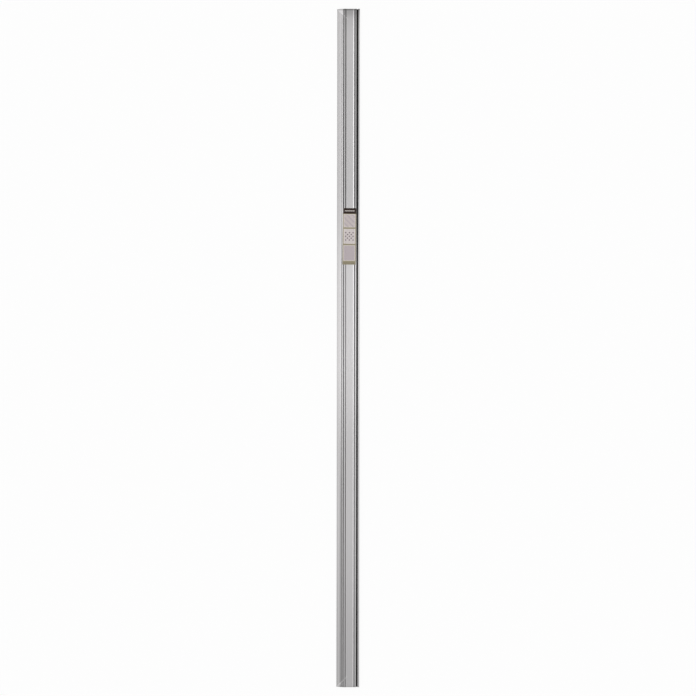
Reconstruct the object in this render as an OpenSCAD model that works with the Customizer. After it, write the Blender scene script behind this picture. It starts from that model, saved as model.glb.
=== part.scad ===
// One length of extruded aluminium sill profile with its paper label.
// Millimetres. X runs across the section, Y along the length, Z up from the floor.
// The section is drawn on plan X and Z and carried along Y.

/* [Profile] */
// Length of the cut piece
profile_length = 2400; // [1200:50:3000]
// Overall width, tip of the ramp to edge of the cover lip
profile_width = 80; // [74:1:110]
// Overall height, floor to deck
profile_height = 10; // [9:0.5:16]
// Thickness of every wall, leg and foot
wall = 1.8; // [1.4:0.1:2.1]

/* [Ramp] */
// Width of the ramp on plan
ramp_width = 22; // [18:0.1:26]
// Height of the round tip where the ramp meets the floor
tip_height = 2; // [1.4:0.1:3]
// Width of the round line pressed into the ramp
line_width = 2.8; // [1.6:0.1:3.2]
// Depth of that line below the ramp
line_depth = 0.9; // [0.4:0.1:1]
// Distance on plan from the top of the ramp to that line
line_offset = 4.3; // [3:0.1:9]

/* [Deck] */
// Width of each deck groove
groove_width = 2.8; // [1.8:0.1:3.4]
// Depth of each deck groove
groove_depth = 2.6; // [1.8:0.1:3.2]
// Width of the bead between the groove beside the ramp and the panel
ramp_bead = 4.2; // [3:0.1:6]
// Width of the bead between the other groove and the slot
slot_bead = 5.7; // [3:0.1:6]
// Depth of the panel below the beads
panel_depth = 0.9; // [0.4:0.1:1.2]
// Width of the slope down to the panel on the ramp's side
ramp_slope = 3.5; // [1.5:0.1:4]
// Width of the slope up from the panel on the slot's side
slot_slope = 3.5; // [1.5:0.1:4]

/* [Seal slot] */
// Clear width of the mouth
mouth_width = 5.6; // [4.6:0.1:6.4]
// Reach of the pocket under each side of the mouth
undercut = 0.9; // [0.4:0.1:1.2]
// Width of the cover lip beyond the mouth
lip_width = 5.2; // [5:0.1:9]

/* [Feet and edges] */
// Width of each foot on the floor
foot_width = 6; // [4:0.1:7]
// Radius of the edges at the grooves and the mouth
edge_radius = 0.3; // [0.2:0.1:0.8]
// Radius of the bead's edge at the mouth and of the outer edge of the cover lip
lip_radius = 0.8; // [0.5:0.1:1.3]

/* [Label] */
// Width of the label
label_width = 47; // [30:1:47]
// Length of the label
label_length = 200; // [100:5:300]
// Thickness of the label
label_thickness = 0.2; // [0.1:0.05:0.4]
// Distance from the far end of the profile to the middle of the label
label_from_end = 805; // [160:5:1000]
// Shift of the label across the deck from the middle of the panel
label_shift = -0.8; // [-1.2:0.1:-0.4]
// Turn of the label away from square, degrees
label_turn = -0.6; // [-0.6:0.1:0.6]

/* [Hidden] */
$fn = 64;

// Stations across the section, left to right
tip_x = -profile_width / 2;
ramp_top = tip_x + ramp_width;
ramp_groove = ramp_top + groove_width / 2;
panel_left = ramp_top + groove_width + ramp_bead;
lip_end = profile_width / 2;
mouth_right = lip_end - lip_width;
mouth_left = mouth_right - mouth_width;
panel_right = mouth_left - slot_bead - groove_width;
slot_groove = panel_right + groove_width / 2;
grooves = [ramp_groove, slot_groove];
panel_middle = (panel_left + panel_right) / 2;

// Ramp line, tangent to the round tip and ending at the deck edge
tip_r = tip_height / 2;
tip_run = ramp_top - tip_x - tip_r;
tip_rise = profile_height - tip_r;
ramp_angle = atan2(tip_rise, tip_run) - asin(tip_r / sqrt(tip_run * tip_run + tip_rise * tip_rise));
tangent = [tip_x + tip_r - tip_r * sin(ramp_angle), tip_r + tip_r * cos(ramp_angle)];

// Levels
panel_top = profile_height - panel_depth;
deck_under = panel_top - wall;
lip_under = profile_height - wall;
groove_floor = profile_height - groove_depth;
groove_mid = groove_floor + groove_width / 2;

// Slot box
pocket_left = mouth_left - undercut;
pocket_right = mouth_right + undercut;
pocket_width = pocket_right - pocket_left;

// Top of the section before grooves and slot are cut: ramp, bead, sunk panel, bead and lip
top_line = [
    [tip_x, tangent[1] - (tangent[0] - tip_x) * tan(ramp_angle)],
    [ramp_top, profile_height],
    [panel_left, profile_height],
    [panel_left + ramp_slope, panel_top],
    [panel_right - slot_slope, panel_top],
    [panel_right, profile_height],
    [lip_end, profile_height]
];

// Outside of the section with everything under it filled
module envelope() {
    polygon(concat([[tip_x, 0]], top_line, [[lip_end, 0]]));
}

// Waste outside the round tip
module tip_waste() {
    difference() {
        polygon([
            [tip_x + tip_r, 0],
            tangent,
            [tip_x - tip_r, tangent[1]],
            [tip_x - tip_r, 0]
        ]);
        translate([tip_x + tip_r, tip_r])
            circle(r = tip_r);
    }
}

// Sloping wall of the ramp and the foot at its tip
module ramp_wall() {
    drop = wall / cos(ramp_angle);
    reach = foot_width * tan(ramp_angle);
    polygon([
        [tip_x, tangent[1] + tip_r],
        [tip_x, tangent[1] - drop],
        [tangent[0], tangent[1] - drop],
        [ramp_top + wall, profile_height + wall * tan(ramp_angle) - drop],
        [ramp_top + wall, profile_height + reach],
        [tangent[0], tangent[1] + reach]
    ]);
    translate([tip_x, 0])
        square([foot_width, wall]);
}

// Shallow round line cut into the ramp, square to its slope
module ramp_line() {
    radius = (line_width * line_width / 4 + line_depth * line_depth) / (2 * line_depth);
    rise = radius - line_depth;
    translate([
        ramp_top - line_offset - rise * sin(ramp_angle),
        profile_height - line_offset * tan(ramp_angle) + rise * cos(ramp_angle)
    ])
        circle(r = radius);
}

// Deck from the top of the ramp to the slot, and the cover lip beyond it
module deck_wall() {
    translate([ramp_top, deck_under])
        square([pocket_left - ramp_top, panel_depth + wall]);
    translate([pocket_right, lip_under])
        square([lip_end - pocket_right, wall]);
}

// Metal round the underside of one groove
module trough(x) {
    translate([x, groove_mid])
        circle(d = groove_width + 2 * wall);
}

// Upright leg with a foot
module leg(x) {
    translate([x - wall / 2, 0])
        square([wall, deck_under + wall / 2]);
    translate([x - foot_width / 2, 0])
        square([foot_width, wall]);
}

// Box of metal that the slot is cut from
module slot_box() {
    translate([pocket_left - wall, 0])
        square([pocket_width + 2 * wall, profile_height]);
}

// One round-bottomed groove
module groove(x) {
    translate([x, groove_mid])
        circle(d = groove_width);
    translate([x - groove_width / 2, groove_mid])
        square([groove_width, groove_depth]);
    edge(x - groove_width / 2, 1);
    edge(x + groove_width / 2, -1);
}

// Undercut slot for a seal, open at the top
module slot() {
    translate([pocket_left, wall])
        square([pocket_width, lip_under - wall]);
    translate([mouth_left, lip_under - wall / 2])
        square([mouth_width, 2 * wall]);
    edge(mouth_left, 1, lip_radius);
    edge(mouth_right, -1);
}

// Waste outside a rounded top edge, with the metal on the left (side 1) or right (side -1)
module edge(x, side, radius = edge_radius) {
    translate([x - side * radius, profile_height - radius])
        difference() {
            translate([side > 0 ? 0 : -2 * radius, 0])
                square([2 * radius, 2 * radius]);
            circle(r = radius);
        }
}

// Section of the profile
module section() {
    difference() {
        intersection() {
            envelope();
            union() {
                ramp_wall();
                deck_wall();
                for (x = grooves) trough(x);
                leg(ramp_groove);
                leg(panel_middle);
                slot_box();
            }
        }
        tip_waste();
        ramp_line();
        for (x = grooves) groove(x);
        slot();
        edge(lip_end, 1, lip_radius);
    }
}

// Section carried along the whole length
module carried() {
    rotate([90, 0, 0])
        linear_extrude(height = profile_length, center = true)
            children();
}

// Layer as thick as the label that lies on the top line and bridges the grooves
module paper_layer() {
    last = len(top_line) - 1;
    upper = [for (i = [last : -1 : 0]) top_line[i] + [0, label_thickness]];
    polygon(concat(top_line, upper));
}

module profile() {
    color([0.78, 0.79, 0.80])
        carried() section();
}

// Sheet pressed onto the deck, so that it follows the sunk panel
module label() {
    color([0.72, 0.69, 0.68])
        intersection() {
            carried() paper_layer();
            translate([panel_middle + label_shift, profile_length / 2 - label_from_end, 0])
                rotate([0, 0, label_turn])
                    translate([-label_width / 2, -label_length / 2, 0])
                        cube([label_width, label_length, profile_height + 2 * label_thickness]);
        }
}

profile();
label();
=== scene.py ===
"""Looks of one length of extruded aluminium sill profile with its paper sticker.

Metres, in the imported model's frame: X across the section, Y along the length, Z up from the floor.
Sizes and places are written in millimetres and become metres where Blender takes them.
"""

import bpy
import numpy as np
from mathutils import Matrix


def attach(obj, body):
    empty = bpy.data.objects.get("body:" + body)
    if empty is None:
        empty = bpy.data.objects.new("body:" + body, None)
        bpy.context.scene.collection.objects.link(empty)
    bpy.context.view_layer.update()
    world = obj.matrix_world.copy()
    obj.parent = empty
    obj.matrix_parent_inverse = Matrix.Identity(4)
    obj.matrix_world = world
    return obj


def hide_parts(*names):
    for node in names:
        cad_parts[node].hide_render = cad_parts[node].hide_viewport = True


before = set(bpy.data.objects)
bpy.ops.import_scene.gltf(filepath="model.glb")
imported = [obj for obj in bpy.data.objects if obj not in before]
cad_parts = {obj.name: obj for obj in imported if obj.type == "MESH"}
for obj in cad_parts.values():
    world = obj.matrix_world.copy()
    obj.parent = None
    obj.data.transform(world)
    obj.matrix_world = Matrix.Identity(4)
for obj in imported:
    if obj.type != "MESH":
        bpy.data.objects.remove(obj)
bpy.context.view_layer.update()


# Extrusion
# One length of aluminium pushed hot through a die, pulled straight and sawn square at both ends.
# One section runs all along it: ramp, deck with a sunk panel between grooves, seal slot and cover lip.

MM = 0.001
LENGTH = 2400.0
HALF_WIDTH = 40.0
HEIGHT = 10.0
WALL = 1.8
FOOT = 6.0
RAMP_WIDTH = 22.0
TIP_RADIUS = 1.0
LINE_WIDTH = 2.8
LINE_DEPTH = 0.9
LINE_OFFSET = 4.3
GROOVE = 2.8
GROOVE_DEPTH = 2.6
RAMP_BEAD = 4.2
SLOT_BEAD = 5.7
PANEL_DEPTH = 0.9
LEFT_SLOPE = 3.5
RIGHT_SLOPE = 3.5
MOUTH = 5.6
UNDERCUT = 0.9
LIP = 5.2

# Radii of the edges and inner corners, with a hair of flat floor in a groove, and the break of the sawn ends
EDGE = 0.3
LIP_EDGE = 0.8
BROKEN_EDGE = 0.2
FILLET = 0.4
HEEL_FILLET = 0.1
TROUGH_FILLET = 0.2
GROOVE_FLAT = 0.02
GROOVE_ROUND = (GROOVE - GROOVE_FLAT) / 2
END_BREAK = 0.12

# Stations across the section and levels above the floor
RAMP_TOP = RAMP_WIDTH - HALF_WIDTH
PANEL_LEFT = RAMP_TOP + GROOVE + RAMP_BEAD
MOUTH_RIGHT = HALF_WIDTH - LIP
MOUTH_LEFT = MOUTH_RIGHT - MOUTH
PANEL_RIGHT = MOUTH_LEFT - SLOT_BEAD - GROOVE
PANEL_TOP = HEIGHT - PANEL_DEPTH
GROOVE_FLOOR = HEIGHT - GROOVE_DEPTH

# The ramp's line touches the round tip and ends at the deck's edge.
ramp_run = RAMP_WIDTH - TIP_RADIUS
ramp_rise = HEIGHT - TIP_RADIUS
RAMP_ANGLE = np.arctan2(ramp_rise, ramp_run) - np.arcsin(TIP_RADIUS / np.hypot(ramp_run, ramp_rise))
RAMP_SLOPE = np.tan(RAMP_ANGLE)
RAMP_DROP = WALL / np.cos(RAMP_ANGLE)


def circle_points(x, z, radius, start, end, count=13):
    """Points on a circle about x, z at equal angles from start to end in degrees, with no corner radius."""
    angle = np.radians(np.linspace(start, end, count))
    return np.column_stack([x + radius * np.cos(angle), z + radius * np.sin(angle), np.zeros(count)])


def section_corners():
    """Rows of x, z and corner radius round the section, anticlockwise from the tip, in millimetres."""
    deck_under = PANEL_TOP - WALL
    lip_under = HEIGHT - WALL
    groove_mid = GROOVE_FLOOR + GROOVE / 2
    trough = GROOVE / 2 + WALL
    left_groove = RAMP_TOP + GROOVE / 2
    right_groove = PANEL_RIGHT + GROOVE / 2
    middle_leg = (PANEL_LEFT + PANEL_RIGHT) / 2
    pocket_left = MOUTH_LEFT - UNDERCUT
    pocket_right = MOUTH_RIGHT + UNDERCUT
    half_leg = WALL / 2
    half_foot = FOOT / 2

    # Angles at which the legs and the undersides of deck and ramp run into the rounds under the grooves
    leg_turn = np.degrees(np.arccos(half_leg / trough))
    deck_turn = np.degrees(np.arcsin((groove_mid - deck_under) / trough))
    tilt = np.degrees(RAMP_ANGLE)
    above_ramp = groove_mid - HEIGHT + RAMP_DROP
    off_ramp = above_ramp * np.cos(RAMP_ANGLE) - GROOVE / 2 * np.sin(RAMP_ANGLE)
    ramp_turn = tilt + np.degrees(np.arcsin(off_ramp / trough))

    # Circle of the line in the ramp, whose middle stands square above the slope
    line_radius = (LINE_WIDTH ** 2 / 4 + LINE_DEPTH ** 2) / (2 * LINE_DEPTH)
    line_rise = line_radius - LINE_DEPTH
    line_x = RAMP_TOP - LINE_OFFSET - line_rise * np.sin(RAMP_ANGLE)
    line_z = HEIGHT - LINE_OFFSET * RAMP_SLOPE + line_rise * np.cos(RAMP_ANGLE)
    line_turn = np.degrees(np.arcsin(line_rise / line_radius))

    def leg(x, top_left, top_right):
        """Left side, foot and right side of an upright leg about x, with the rounds at its foot."""
        return np.array(top_left + [
            [x - half_leg, WALL, FILLET],
            [x - half_foot, WALL, BROKEN_EDGE],
            [x - half_foot, 0, BROKEN_EDGE],
            [x + half_foot, 0, BROKEN_EDGE],
            [x + half_foot, WALL, BROKEN_EDGE],
            [x + half_leg, WALL, FILLET],
        ] + top_right)

    return np.concatenate([
        [[RAMP_TOP - HEIGHT / RAMP_SLOPE, 0, TIP_RADIUS]],
        [[FOOT - HALF_WIDTH, 0, BROKEN_EDGE]],
        [[FOOT - HALF_WIDTH, WALL, BROKEN_EDGE]],
        [[RAMP_TOP - (HEIGHT - RAMP_DROP - WALL) / RAMP_SLOPE, WALL, HEEL_FILLET]],
        circle_points(left_groove, groove_mid, trough, 180 + ramp_turn, 180 + leg_turn),
        leg(left_groove, [], []),
        circle_points(left_groove, groove_mid, trough, 360 - leg_turn, 360 - deck_turn),
        leg(
            middle_leg,
            [[middle_leg - half_leg, deck_under, FILLET]],
            [[middle_leg + half_leg, deck_under, FILLET]],
        ),
        circle_points(right_groove, groove_mid, trough, 180 + deck_turn, 360 - deck_turn, count=25),
        [[pocket_left - WALL, deck_under, TROUGH_FILLET]],
        [[pocket_left - WALL, 0, FILLET]],
        [[pocket_right + WALL, 0, FILLET]],
        [[pocket_right + WALL, lip_under, FILLET]],
        [[HALF_WIDTH, lip_under, FILLET]],
        [[HALF_WIDTH, HEIGHT, LIP_EDGE]],
        [[MOUTH_RIGHT, HEIGHT, EDGE]],
        [[MOUTH_RIGHT, lip_under, BROKEN_EDGE]],
        [[pocket_right, lip_under, FILLET]],
        [[pocket_right, WALL, FILLET]],
        [[pocket_left, WALL, FILLET]],
        [[pocket_left, lip_under, FILLET]],
        [[MOUTH_LEFT, lip_under, BROKEN_EDGE]],
        [[MOUTH_LEFT, HEIGHT, LIP_EDGE]],
        [[PANEL_RIGHT + GROOVE, HEIGHT, EDGE]],
        [[PANEL_RIGHT + GROOVE, GROOVE_FLOOR, GROOVE_ROUND]],
        [[PANEL_RIGHT, GROOVE_FLOOR, GROOVE_ROUND]],
        [[PANEL_RIGHT, HEIGHT, EDGE]],
        [[PANEL_RIGHT - RIGHT_SLOPE, PANEL_TOP, EDGE]],
        [[PANEL_LEFT + LEFT_SLOPE, PANEL_TOP, EDGE]],
        [[PANEL_LEFT, HEIGHT, EDGE]],
        [[RAMP_TOP + GROOVE, HEIGHT, EDGE]],
        [[RAMP_TOP + GROOVE, GROOVE_FLOOR, GROOVE_ROUND]],
        [[RAMP_TOP, GROOVE_FLOOR, GROOVE_ROUND]],
        [[RAMP_TOP, HEIGHT, EDGE]],
        circle_points(line_x, line_z, line_radius, tilt - line_turn, tilt + line_turn - 180),
    ])


def rounded(corners, steps):
    """Outline with each corner turned into the arc of its radius that touches both of its sides.

    The arc's points are its two ends, seen from its centre, blended by the sines of the angles left and done.
    A corner of radius 0 stays one point.
    """
    tiny = 1e-9
    point, radius = corners[:, :2], corners[:, 2]
    back = np.roll(point, 1, axis=0) - point
    ahead = np.roll(point, -1, axis=0) - point
    back /= np.linalg.norm(back, axis=1, keepdims=True)
    ahead /= np.linalg.norm(ahead, axis=1, keepdims=True)
    half = np.arccos(np.clip((back * ahead).sum(axis=1), -1, 1)) / 2
    middle = back + ahead
    middle /= np.maximum(np.linalg.norm(middle, axis=1, keepdims=True), tiny)
    from_centre = -middle * (radius / np.sin(half))[:, None]
    reach = (radius / np.tan(half))[:, None]
    start = from_centre + back * reach
    end = from_centre + ahead * reach
    turn = (np.pi - 2 * half)[:, None]
    share = np.linspace(0, 1, steps + 1)[None, :]
    sine = np.maximum(np.sin(turn), tiny)
    left = (np.sin((1 - share) * turn) / sine)[:, :, None]
    done = (np.sin(share * turn) / sine)[:, :, None]
    arcs = (point - from_centre)[:, None] + left * start[:, None] + done * end[:, None]
    kept = (radius > 0)[:, None] | (share == 0)
    return arcs[kept]


def carried(outline, y, inset):
    """Skin of a section carried along Y.

    Ring j is the outline moved in by inset[j] along its normals, at y[j].
    Returns the points, the quads between neighbouring rings and the two end faces, all facing outwards.
    """
    ahead = np.roll(outline, -1, axis=0) - np.roll(outline, 1, axis=0)
    inward = np.column_stack([-ahead[:, 1], ahead[:, 0]]) / np.linalg.norm(ahead, axis=1, keepdims=True)
    ring = outline[None] + inset[:, None, None] * inward[None]
    count = len(outline)
    station = np.repeat(y[:, None], count, axis=1)
    points = np.stack([ring[..., 0], station, ring[..., 1]], axis=-1).reshape(-1, 3)
    first = np.arange(count)[None, :] + count * np.arange(len(y) - 1)[:, None]
    second = np.roll(first, -1, axis=1)
    quads = np.stack([first, first + count, second + count, second], axis=-1).reshape(-1, 4)
    near_end = np.arange(count)
    far_end = near_end[::-1] + count * (len(y) - 1)
    return points, quads, [near_end, far_end]


SHARP_TURN = np.radians(32)


def new_piece(name, points, faces):
    """Object at the origin with these points, in millimetres, and faces, shaded smooth but for its edges."""
    mesh = bpy.data.meshes.new(name)
    mesh.from_pydata((points * MM).tolist(), [], [list(map(int, face)) for face in faces])
    mesh.shade_smooth()
    mesh.set_sharp_from_angle(angle=SHARP_TURN)
    piece = bpy.data.objects.new(name, mesh)
    bpy.context.scene.collection.objects.link(piece)
    return piece


FAR_END = LENGTH / 2
NEAR_END = -LENGTH / 2
stations = np.linspace(NEAR_END + END_BREAK, FAR_END - END_BREAK, num=49)
ring_y = np.concatenate([[NEAR_END], stations, [FAR_END]])
ring_inset = np.where(np.abs(ring_y) == FAR_END, END_BREAK, 0)
skin, sides, ends = carried(rounded(section_corners(), steps=8), ring_y, ring_inset)
extrusion = new_piece("extrusion", skin, [*sides, *ends])
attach(extrusion, "root")
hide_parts("profile")


class Shade:
    """One socket of a shader tree: arithmetic on it adds Math nodes, and make() adds any other node."""

    def __init__(self, tree, socket=None):
        self.tree = tree
        self.socket = socket

    def make(self, kind, settings=None, sockets=None, output=0):
        """New node of this kind with its settings made first, then its sockets set or linked."""
        node = self.tree.nodes.new(kind)
        for name, value in (settings or {}).items():
            setattr(node, name, value)
        for name, value in (sockets or {}).items():
            if isinstance(value, Shade):
                self.tree.links.new(value.socket, node.inputs[name])
            else:
                node.inputs[name].default_value = value
        return Shade(self.tree, node.outputs[output] if len(node.outputs) else None)

    def math(self, operation, first, second):
        return self.make("ShaderNodeMath", {"operation": operation}, {0: first, 1: second})

    def __add__(self, other):
        return self.math("ADD", self, other)

    def __sub__(self, other):
        return self.math("SUBTRACT", self, other)

    def __rsub__(self, other):
        return self.math("SUBTRACT", other, self)

    def __mul__(self, other):
        return self.math("MULTIPLY", self, other)

    def __gt__(self, other):
        return self.math("GREATER_THAN", self, other)

    def __lt__(self, other):
        return self.math("LESS_THAN", self, other)

    def __abs__(self):
        return self.math("ABSOLUTE", self, 0.0)

    __radd__ = __add__
    __rmul__ = __mul__

    def fade(self, low, high):
        """0 at low, 1 at high and a smooth rise between; low may be the larger."""
        span = {"Value": self, "From Min": low, "From Max": high}
        return self.make("ShaderNodeMapRange", {"interpolation_type": "SMOOTHSTEP"}, span)

    def between(self, first, second):
        """Colour or vector that goes from first to second as this value goes from 0 to 1."""
        return self.make("ShaderNodeMix", {"data_type": "RGBA"}, {0: self, 6: first, 7: second}, 2)


def new_material(name):
    """Empty material and a Shade at its tree to start from."""
    material = bpy.data.materials.new(name)
    material.use_nodes = True
    material.node_tree.nodes.clear()
    return material, Shade(material.node_tree)


# Satin finish of the drawn faces, worked out from places on the strip in millimetres.
satin, metal = new_material("satin_aluminium")
place = metal.make("ShaderNodeTexCoord", output="Object")
across, along, up = (
    metal.make("ShaderNodeSeparateXYZ", {}, {0: place}, axis) * (1 / MM)
    for axis in range(3)
)


def die_lines(pitch, run, detail):
    """Noise drawn out along the length: about one line for each pitch, changing slowly over each run."""
    scale = (1 / (pitch * MM), 1 / (run * MM), 1 / (pitch * MM))
    drawn = metal.make("ShaderNodeMapping", {"vector_type": "POINT"}, {"Vector": place, "Scale": scale})
    return metal.make("ShaderNodeTexNoise", {}, {"Vector": drawn, "Scale": 1.0, "Detail": detail}, "Fac")


def streak(low, high, soft):
    """1 between two places across the strip and 0 outside, with a soft edge about each of the two."""
    middle = (low + high) / 2
    half = (high - low) / 2
    return abs(across - middle).fade(half + soft / 2, half - soft / 2)


hair_lines = die_lines(pitch=0.18, run=900.0, detail=1.0)
fine_lines = die_lines(pitch=0.7, run=1600.0, detail=2.0)
broad_lines = die_lines(pitch=6.0, run=2400.0, detail=1.0)
handling = metal.make("ShaderNodeTexNoise", {}, {"Vector": place, "Scale": 7.0, "Detail": 4.0}, "Fac")

# Painted shade darkens the hollows of the section: the grooves, the slot and the line in the ramp.
# The ramp's line gets the most of it about mid-length.
GROOVE_SHADE_LEVELS = (9.7, 8.0)
GROOVE_SHADE_INSET = 0.05
SLOT_SHADE_LEVELS = (8.8, 3.0)
SLOT_BOX_LEVELS = (1.0, 1.5)
SLOT_SHADE_REACH = UNDERCUT + 0.175
LINE_MIDDLE = RAMP_TOP - LINE_OFFSET - 0.2
LINE_SHADE_REACH = 1.3
LINE_SHADE_PLACE = 50.0
LINE_SHADE_RUN = (500.0, 200.0)
in_grooves = sum(
    streak(left + GROOVE_SHADE_INSET, left + GROOVE - GROOVE_SHADE_INSET, soft=0.4)
    for left in (RAMP_TOP, PANEL_RIGHT)
)
painted_groove_shade = in_grooves * up.fade(*GROOVE_SHADE_LEVELS)
in_slot = streak(MOUTH_LEFT - SLOT_SHADE_REACH, MOUTH_RIGHT + SLOT_SHADE_REACH, soft=0.15)
painted_slot_shade = in_slot * up.fade(*SLOT_SHADE_LEVELS) * up.fade(*SLOT_BOX_LEVELS)
in_line = streak(LINE_MIDDLE - LINE_SHADE_REACH, LINE_MIDDLE + LINE_SHADE_REACH, soft=0.4)
painted_line_shade = in_line * (0.35 + 0.5 * abs(along - LINE_SHADE_PLACE).fade(*LINE_SHADE_RUN))

# Streaks of painted shade lie in the first groove and on the slope next to it on both halves, beside the slot
# on the far half, along the head of the ramp on the near half, and all along the ramp's tip.
FAR_SHADE_RUN = (280.0, 600.0)
NEAR_SHADE_RUN = (-100.0, -600.0)
TIP_SHADE_RUN = (-750.0, -1000.0)
TIP_EDGE = (-36.8, -38.8)
LIP_MIDDLE = 37.5
RAMP_HEAD = (RAMP_TOP - 14.0, RAMP_TOP - 7.5)
CREST_EDGE = (RAMP_TOP + 0.4, RAMP_TOP - 0.6)
CREST_FOOT = (RAMP_TOP - 2.0, RAMP_TOP - 3.2)
first_groove = streak(RAMP_TOP - 0.6, RAMP_TOP + GROOVE + 0.3, soft=0.6)
first_slope = streak(PANEL_LEFT - 0.2, PANEL_LEFT + LEFT_SLOPE - 0.2, soft=0.6)
slot_side = streak(PANEL_RIGHT + GROOVE + 0.1, LIP_MIDDLE, soft=1.2)
far_painted_shade = (1.1 * first_groove + 0.75 * first_slope + 0.42 * slot_side) * along.fade(*FAR_SHADE_RUN)
ramp_head_shade = across.fade(*RAMP_HEAD) * across.fade(*CREST_EDGE) * (0.16 + 0.24 * across.fade(*CREST_FOOT))
near_painted_shade = (ramp_head_shade + 0.32 * (first_groove + first_slope)) * along.fade(*NEAR_SHADE_RUN)
tip_painted_shade = across.fade(*TIP_EDGE) * (0.12 + 0.2 * along.fade(*TIP_SHADE_RUN))
streak_shade = (far_painted_shade + near_painted_shade + tip_painted_shade) * (0.5 + fine_lines)

# The deck is darker towards its far end, and a line of painted shade runs along both sawn ends.
DECK_EDGE = (RAMP_TOP - 1.5, RAMP_TOP + 0.5)
FAR_DARK_RUN = (FAR_END - 100.0, FAR_END)
FAR_DARK_HEAD = (FAR_END - 34.0, FAR_END - 10.0)
FAR_END_SHADE = (FAR_END - 8.5, FAR_END - 1.5)
NEAR_END_SHADE = (NEAR_END + 8.5, NEAR_END + 1.5)
far_deck_darkening = (0.22 * along.fade(*FAR_DARK_RUN) + 0.2 * along.fade(*FAR_DARK_HEAD)) * across.fade(*DECK_EDGE)
ends_darkening = far_deck_darkening + 0.4 * along.fade(*FAR_END_SHADE) + 0.14 * along.fade(*NEAR_END_SHADE)

# Handling left a slanting line of scuffs at both ends, from the corner of the ramp's tip on to the deck.
SCUFF_LINE = FAR_END - HALF_WIDTH
SCUFF_REACH = (3.2, 1.0)
SCUFF_FOOT = (-39.0, -36.0)
SCUFF_HEAD = (0.0, -4.0)
SCRATCHES_ACROSS = 1.3
SCRATCHES_ALONG = 0.15
SCRATCH_LEVELS = (0.49, 0.6)
corner = abs(along) + across
slanted = metal.make("ShaderNodeCombineXYZ", {}, {
    0: corner * SCRATCHES_ACROSS,
    1: (across - abs(along)) * SCRATCHES_ALONG,
})
scratches = metal.make("ShaderNodeTexNoise", {}, {"Vector": slanted, "Scale": 1.0, "Detail": 3.0}, "Fac")
scuffs = abs(corner - SCUFF_LINE).fade(*SCUFF_REACH) * scratches.fade(*SCRATCH_LEVELS)
scuffs = scuffs * across.fade(*SCUFF_FOOT) * across.fade(*SCUFF_HEAD)

# Painted light: the metal's colour is brightest about the middle and darker towards the ends.
# Painted highlights keep the ramp's corners past the scuffs bright, the far one most, and also the crest of
# the ramp, the right slope and the lip on the far half.
CORNER_HIGHLIGHT = (SCUFF_LINE - 3.0, SCUFF_LINE + 1.0)
RAMP_EDGE = (RAMP_TOP + 0.5, RAMP_TOP - 1.0)
HIGHLIGHT_RUN = (50.0, 450.0)
LIGHT_PEAK_PLACE = 80.0
LIGHT_FALL_RUN = (100.0, 500.0)
NEAR_LIGHT_FALL_RUN = (-500.0, NEAR_END)
corner_highlights = corner.fade(*CORNER_HIGHLIGHT) * across.fade(*RAMP_EDGE) * (0.25 + 0.75 * (along > 0.0))
slope_highlight = streak(PANEL_RIGHT - RIGHT_SLOPE, PANEL_RIGHT, soft=0.6)
crest_highlight = streak(RAMP_TOP - 3.3, RAMP_TOP - 0.4, soft=0.6)
lip_highlight = streak(HALF_WIDTH - 2.0, HALF_WIDTH + 1.0, soft=1.0)
painted_highlights = corner_highlights + (slope_highlight + crest_highlight + lip_highlight) * along.fade(*HIGHLIGHT_RUN)
light_falloff = 0.18 * abs(along - LIGHT_PEAK_PLACE).fade(*LIGHT_FALL_RUN) + 0.16 * along.fade(*NEAR_LIGHT_FALL_RUN)
# The bare metal's tone carries the die lines together with the painted light and highlights.
brightness = 0.93 + 0.1 * broad_lines + 0.09 * fine_lines - light_falloff * (1.0 - 1.2 * painted_highlights)

BARE_TONE = (0.80, 0.785, 0.79)
# The groove, line and slot tones are painted shade for these hollows.
GROOVE_SHADE_TONE = (0.05, 0.049, 0.049, 1)
LINE_SHADE_TONE = (0.16, 0.157, 0.157, 1)
# Tone of the painted shade along the streaks
STREAK_SHADE_TONE = (0.05, 0.049, 0.048, 1)
# Tone of the painted shade at the sawn ends and of the darker far end of the deck
END_DARK_TONE = (0.12, 0.118, 0.115, 1)
SCRATCH_TONE = (0.95, 0.94, 0.94, 1)
SLOT_SHADE_TONE = (0.015, 0.0145, 0.0145, 1)
DIE_RELIEF = 0.1
bare = metal.make("ShaderNodeVectorMath", {"operation": "SCALE"}, {0: BARE_TONE, "Scale": brightness})
hollows_shaded = painted_line_shade.between(painted_groove_shade.between(bare, GROOVE_SHADE_TONE), LINE_SHADE_TONE)
shaded_metal = ends_darkening.between(streak_shade.between(hollows_shaded, STREAK_SHADE_TONE), END_DARK_TONE)
tone = painted_slot_shade.between(scuffs.between(shaded_metal, SCRATCH_TONE), SLOT_SHADE_TONE)
matt_lines = 0.14 * fine_lines + 0.12 * hair_lines
finish = metal.make("ShaderNodeBsdfPrincipled", {}, {
    "Base Color": tone,
    "Metallic": 1.0,
    "Roughness": 0.16 + 0.1 * handling + matt_lines + 0.2 * (painted_groove_shade + scuffs),
    "Normal": metal.make("ShaderNodeBump", {}, {
        "Height": fine_lines + broad_lines + 0.5 * hair_lines + scuffs,
        "Strength": 0.3,
        "Distance": DIE_RELIEF * MM,
    }),
})
metal.make("ShaderNodeOutputMaterial", {}, {"Surface": finish})

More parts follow.
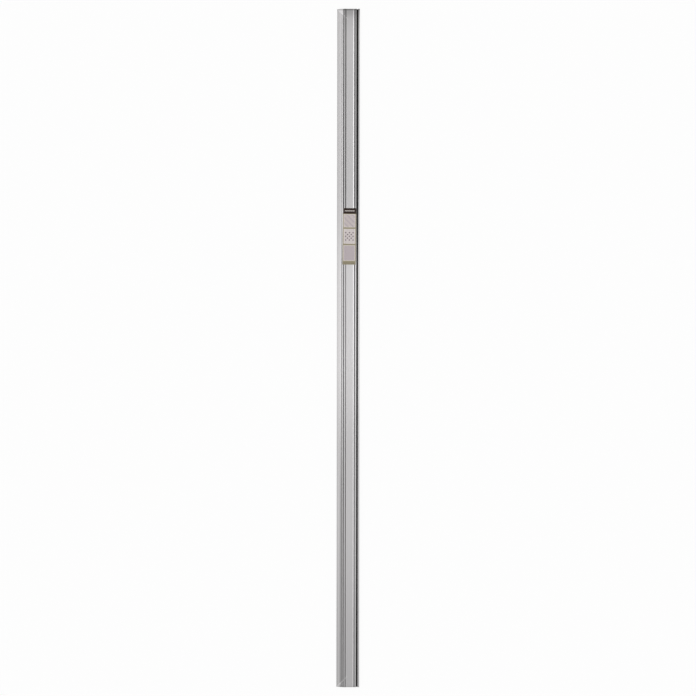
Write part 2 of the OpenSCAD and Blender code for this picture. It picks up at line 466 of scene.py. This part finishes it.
# Sawn ends, scored in arcs about the axle of a blade that stood below and beside the strip.
SAW_AXLE = (-140.0, -110.0)
SAW_RINGS = 420.0
SAW_RELIEF = 0.08
SAW_VALLEY = (0.70, 0.695, 0.69, 1)
SAW_RIDGE = (0.84, 0.835, 0.83, 1)
sawn, cut = new_material("sawn_aluminium")
blade = cut.make("ShaderNodeMapping", {"vector_type": "POINT"}, {
    "Vector": cut.make("ShaderNodeTexCoord", output="Object"),
    "Location": (-SAW_AXLE[0] * MM, 0.0, -SAW_AXLE[1] * MM),
    "Scale": (1.0, 0.0, 1.0),
})
teeth = cut.make("ShaderNodeTexWave", {"wave_type": "RINGS", "rings_direction": "SPHERICAL"}, {
    "Vector": blade,
    "Scale": SAW_RINGS,
    "Distortion": 3.0,
    "Detail": 3.0,
}, "Fac")
end_finish = cut.make("ShaderNodeBsdfPrincipled", {}, {
    "Base Color": teeth.between(SAW_VALLEY, SAW_RIDGE),
    "Metallic": 1.0,
    "Roughness": 0.32 + 0.1 * teeth,
    "Normal": cut.make("ShaderNodeBump", {}, {
        "Height": teeth,
        "Strength": 0.5,
        "Distance": SAW_RELIEF * MM,
    }),
})
cut.make("ShaderNodeOutputMaterial", {}, {"Surface": end_finish})

extrusion.data.materials.append(satin)
extrusion.data.materials.append(sawn)
face_slot = np.zeros(len(sides) + len(ends), dtype=np.int32)
face_slot[len(sides):] = 1
extrusion.data.polygons.foreach_set("material_index", face_slot)


# Sticker
# A strip of printed paper with a varnished face, stuck on the deck by hand and so a little out of square.
# It follows the deck down into the sunk panel and over the edge of the ramp.

STICKER_WIDTH = 47.0
STICKER_LENGTH = 200.0
STICKER_THICKNESS = 0.1
STICKER_GLUE = 0.02
STICKER_SHIFT = -0.8
STICKER_FROM_END = 805.0
STICKER_TURN = np.radians(-0.6)
STICKER_X = (PANEL_LEFT + PANEL_RIGHT) / 2 + STICKER_SHIFT
STICKER_Y = FAR_END - STICKER_FROM_END


def deck_height(x):
    """Height of the metal that the paper lies on: the deck, less the panel's depth by the share of each slope
    that is behind x, less the ramp's fall left of its top."""
    into_left = np.clip((x - PANEL_LEFT) / LEFT_SLOPE, 0, 1)
    into_right = np.clip((PANEL_RIGHT - x) / RIGHT_SLOPE, 0, 1)
    fall = np.maximum(RAMP_TOP - x, 0) * RAMP_SLOPE
    return HEIGHT - PANEL_DEPTH * np.minimum(into_left, into_right) - fall


def sheet_on_deck(columns, rows):
    """Rectangle turned about its middle, with its height read from the deck below each point.

    Returns the points, the quads facing up and each point's share of the width and of the length.
    """
    u, v = np.meshgrid(np.linspace(0, 1, columns), np.linspace(0, 1, rows))
    wide = (u - 0.5) * STICKER_WIDTH
    tall = (v - 0.5) * STICKER_LENGTH
    x = STICKER_X + wide * np.cos(STICKER_TURN) - tall * np.sin(STICKER_TURN)
    y = STICKER_Y + wide * np.sin(STICKER_TURN) + tall * np.cos(STICKER_TURN)
    points = np.stack([x, y, deck_height(x) + STICKER_GLUE], axis=-1).reshape(-1, 3)
    corner = (np.arange(columns - 1)[None, :] + columns * np.arange(rows - 1)[:, None]).ravel()
    quads = np.stack([corner, corner + 1, corner + columns + 1, corner + columns], axis=-1)
    return points, quads, np.stack([u, v], axis=-1).reshape(-1, 2)


sheet_points, sheet_quads, sheet_share = sheet_on_deck(columns=93, rows=101)
sticker = new_piece("sticker", sheet_points, sheet_quads)
print_map = sticker.data.uv_layers.new(name="print")
print_map.data.foreach_set("uv", sheet_share[sheet_quads.ravel()].ravel())
body = sticker.modifiers.new("paper", "SOLIDIFY")
body.thickness = STICKER_THICKNESS * MM
body.offset = 1.0
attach(sticker, "root")
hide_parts("label")


def srgb(red, green, blue):
    """Linear colour of a picture's 8-bit red, green and blue."""
    level = np.array([red, green, blue]) / 255
    linear = np.where(level <= 0.04045, level / 12.92, ((level + 0.055) / 1.055) ** 2.4)
    return (*linear.tolist(), 1.0)


# The print is a brown header with a bar and three fields on olive, in millimetres from the lower left corner.
BROWN = srgb(46, 34, 28)
OLIVE = srgb(154, 146, 124)
DARK_OLIVE = srgb(126, 118, 96)
CHALK = srgb(222, 214, 209)
PALE = srgb(197, 187, 185)
CREAM = srgb(208, 200, 198)
MAUVE = srgb(184, 174, 177)
PLUM = srgb(128, 116, 122)
HEADER_FOOT = 180.0
BAR_SIDES = (6.0, 41.0)
BAR_HEIGHTS = (189.0, 191.2)
STRIPED_FIELD = (132.0, 178.0)
LATTICE_FIELD = (74.0, 126.0)
PLAIN_FIELD = (14.0, 68.0)
FOOT_LINE = (4.0, 7.0)
MARGIN = 3.0
RIM = 1.6
STRIPE_PITCH = 19.0
STRIPE_SHARE = 0.4
DIAMOND_PITCH = 13.0
DIAMOND_SHARE = 0.5
LATTICE_REACH = 16.2

printed, ink = new_material("printed_paper")
print_at = ink.make("ShaderNodeUVMap", {"uv_map": "print"})
u_mm, v_mm = (
    ink.make("ShaderNodeSeparateXYZ", {}, {0: print_at}, axis) * size
    for axis, size in ((0, STICKER_WIDTH), (1, STICKER_LENGTH))
)


def panel(low_u, high_u, low_v, high_v):
    """1 inside a printed rectangle and 0 outside."""
    return (u_mm > low_u) * (u_mm < high_u) * (v_mm > low_v) * (v_mm < high_v)


def bands(distance, pitch, share):
    """1 within half a share of each whole pitch of a distance, and 0 between."""
    return abs(ink.math("FRACT", distance * (1 / pitch) + 0.5, 0.0) - 0.5) < share / 2


def field(low, high, inset):
    """Rectangle between two heights on the sheet, this far inside the olive margin."""
    return panel(MARGIN + inset, STICKER_WIDTH - MARGIN - inset, low + inset, high - inset)


colour = panel(0.0, STICKER_WIDTH, *FOOT_LINE).between(OLIVE, DARK_OLIVE)
for heights, tint in ((STRIPED_FIELD, PALE), (LATTICE_FIELD, CREAM), (PLAIN_FIELD, MAUVE)):
    colour = field(*heights, 0.0).between(colour, CHALK)
    colour = field(*heights, RIM).between(colour, tint)
stripes = field(*STRIPED_FIELD, RIM) * bands(u_mm + v_mm, STRIPE_PITCH, STRIPE_SHARE)
colour = stripes.between(colour, MAUVE)
right = u_mm - STICKER_WIDTH / 2
higher = v_mm - sum(LATTICE_FIELD) / 2
lattice = (abs(right) < LATTICE_REACH) * (abs(higher) < LATTICE_REACH)
rising = bands(right - higher, DIAMOND_PITCH, DIAMOND_SHARE)
falling = bands(right + higher, DIAMOND_PITCH, DIAMOND_SHARE)
colour = (lattice * falling * rising).between(colour, PLUM)
colour = panel(0.0, STICKER_WIDTH, HEADER_FOOT, STICKER_LENGTH).between(colour, BROWN)
colour = panel(*BAR_SIDES, *BAR_HEIGHTS).between(colour, CHALK)

# The paper has a fine fibre and lies in slight ripples. Its print is rubbed off in places along the edges,
# where the bare paper shows.
FIBRE_SCALE = 1.3
RIPPLE_SCALE = 0.09
WORN_REACH = (1.7, 1.4)
GRAIN_LEVELS = (0.35, 0.75)
PAPER_RELIEF = 0.1
paper_place = ink.make("ShaderNodeCombineXYZ", {}, {0: u_mm, 1: v_mm})
fibre, ripple = (
    ink.make("ShaderNodeTexNoise", {}, {"Vector": paper_place, "Scale": scale, "Detail": detail}, "Fac")
    for scale, detail in ((FIBRE_SCALE, 4.0), (RIPPLE_SCALE, 2.0))
)
from_side = STICKER_WIDTH / 2 - abs(u_mm - STICKER_WIDTH / 2)
from_end = STICKER_LENGTH / 2 - abs(v_mm - STICKER_LENGTH / 2)
from_edge = ink.math("MINIMUM", from_side, from_end)
worn = 0.7 * (from_edge + 3.0 * fibre).fade(*WORN_REACH)
grain = 1.0 - 0.2 * fibre.fade(*GRAIN_LEVELS)
varnish = ink.make("ShaderNodeBsdfPrincipled", {}, {
    "Base Color": ink.make("ShaderNodeVectorMath", {"operation": "SCALE"}, {
        0: worn.between(colour, CHALK),
        "Scale": grain,
    }),
    "Roughness": 0.46 + 0.16 * fibre,
    "Specular IOR Level": 0.25,
    "Normal": ink.make("ShaderNodeBump", {}, {
        "Height": 0.25 * fibre + 3.0 * ripple,
        "Strength": 0.3,
        "Distance": PAPER_RELIEF * MM,
    }),
})
ink.make("ShaderNodeOutputMaterial", {}, {"Surface": varnish})
sticker.data.materials.append(printed)


# Floor
# A plain white studio floor that runs out of sight. The camera and the metal see it as white paper,
# and the part that stays matt keeps the soft shadow beside the strip.

FLOOR_SIDE = 200000.0
FLOOR_WHITE = (0.9, 0.9, 0.9, 1)
SEEN_WHITE = (1, 1, 1, 1)
SEEN_SHARE = 0.85
floor_points = np.array([[-1, -1, 0], [1, -1, 0], [1, 1, 0], [-1, 1, 0]]) * FLOOR_SIDE / 2
floor = new_piece("floor", floor_points, [[0, 1, 2, 3]])
white, paper = new_material("white_floor")
camera_ray, glossy_ray, transmission_ray = (
    paper.make("ShaderNodeLightPath", output=name)
    for name in ("Is Camera Ray", "Is Glossy Ray", "Is Transmission Ray")
)
seen = paper.make("ShaderNodeMixShader", {}, {
    0: (camera_ray + glossy_ray + transmission_ray) * SEEN_SHARE,
    1: paper.make("ShaderNodeBsdfDiffuse", {}, {"Color": FLOOR_WHITE}),
    2: paper.make("ShaderNodeEmission", {}, {"Color": SEEN_WHITE, "Strength": 1.0}),
})
paper.make("ShaderNodeOutputMaterial", {}, {"Surface": seen})
floor.data.materials.append(white)


# Studio
# A light tent of white cloth, brightest overhead. A black flag on the slot's side and a strip light on the
# ramp's side draw the dark and light lines along the metal. One broad lamp above lights paper and floor.

TENT_LEVEL = 0.69
TENT_ROOF = 0.17
STRIP_LEVEL = 0.95
FLAG_SHADE = 0.98
TENT_WHITE = (1, 1, 1, 1)

# Edges of the tent's parts, as sines of their headings to the east, to the north and overhead
MID_LENGTH = (0.45, 0.3)
FLAG_INNER = (0.16, 0.3)
FLAG_OUTER = (0.72, 0.62)
STRIP_INNER = (-0.32, -0.42)
STRIP_OUTER = (-0.64, -0.54)
ROOF_EDGE = (0.72, 0.97)
TENT_HEM = (0.02, 0.12)

world = bpy.data.worlds.new("studio")
world.use_nodes = True
world.node_tree.nodes.clear()
bpy.context.scene.world = world
sky = Shade(world.node_tree)
heading = sky.make("ShaderNodeTexCoord", output="Generated")
east, north, overhead = (sky.make("ShaderNodeSeparateXYZ", {}, {0: heading}, axis) for axis in range(3))
mid_length = abs(north).fade(*MID_LENGTH)
flag = mid_length * east.fade(*FLAG_INNER) * east.fade(*FLAG_OUTER)
strip = mid_length * east.fade(*STRIP_INNER) * east.fade(*STRIP_OUTER)
cloth = TENT_LEVEL + TENT_ROOF * overhead.fade(*ROOF_EDGE) + STRIP_LEVEL * strip
tent = cloth * (1.0 - FLAG_SHADE * flag)
level = 1.0 + overhead.fade(*TENT_HEM) * (tent - 1.0)
sky.make("ShaderNodeOutputWorld", {}, {
    "Surface": sky.make("ShaderNodeBackground", {}, {"Color": TENT_WHITE, "Strength": level}),
})

lamp_light = bpy.data.lights.new("broad_lamp", "SUN")
lamp_light.energy = 0.9
lamp_light.angle = np.radians(70)
broad_lamp = bpy.data.objects.new("broad_lamp", lamp_light)
broad_lamp.location = (0.0, 0.0, 3.0)
broad_lamp.visible_glossy = False
bpy.context.scene.collection.objects.link(broad_lamp)


# Camera
# A long lens looking straight down on the strip, with its length up the picture.
# It stands as high as gives the strip its length in the picture, and is rolled by a hair against the strip.

PICTURE = 696
STRIP_IN_PICTURE = 678.5
STRIP_OFF_MIDDLE = 0.12
CAMERA_ROLL = np.radians(0.07)
lens = bpy.data.cameras.new("long_lens")
lens.lens = 85.0
lens.sensor_width = 36.0
view_width = LENGTH * MM * PICTURE / STRIP_IN_PICTURE
camera = bpy.data.objects.new("camera", lens)
camera.location = (
    -STRIP_OFF_MIDDLE * view_width / PICTURE,
    0.0,
    HEIGHT * MM + view_width * lens.lens / lens.sensor_width,
)
camera.rotation_euler = (0.0, 0.0, CAMERA_ROLL)
bpy.context.scene.collection.objects.link(camera)
bpy.context.scene.camera = camera
bpy.context.scene.view_settings.view_transform = "Standard"
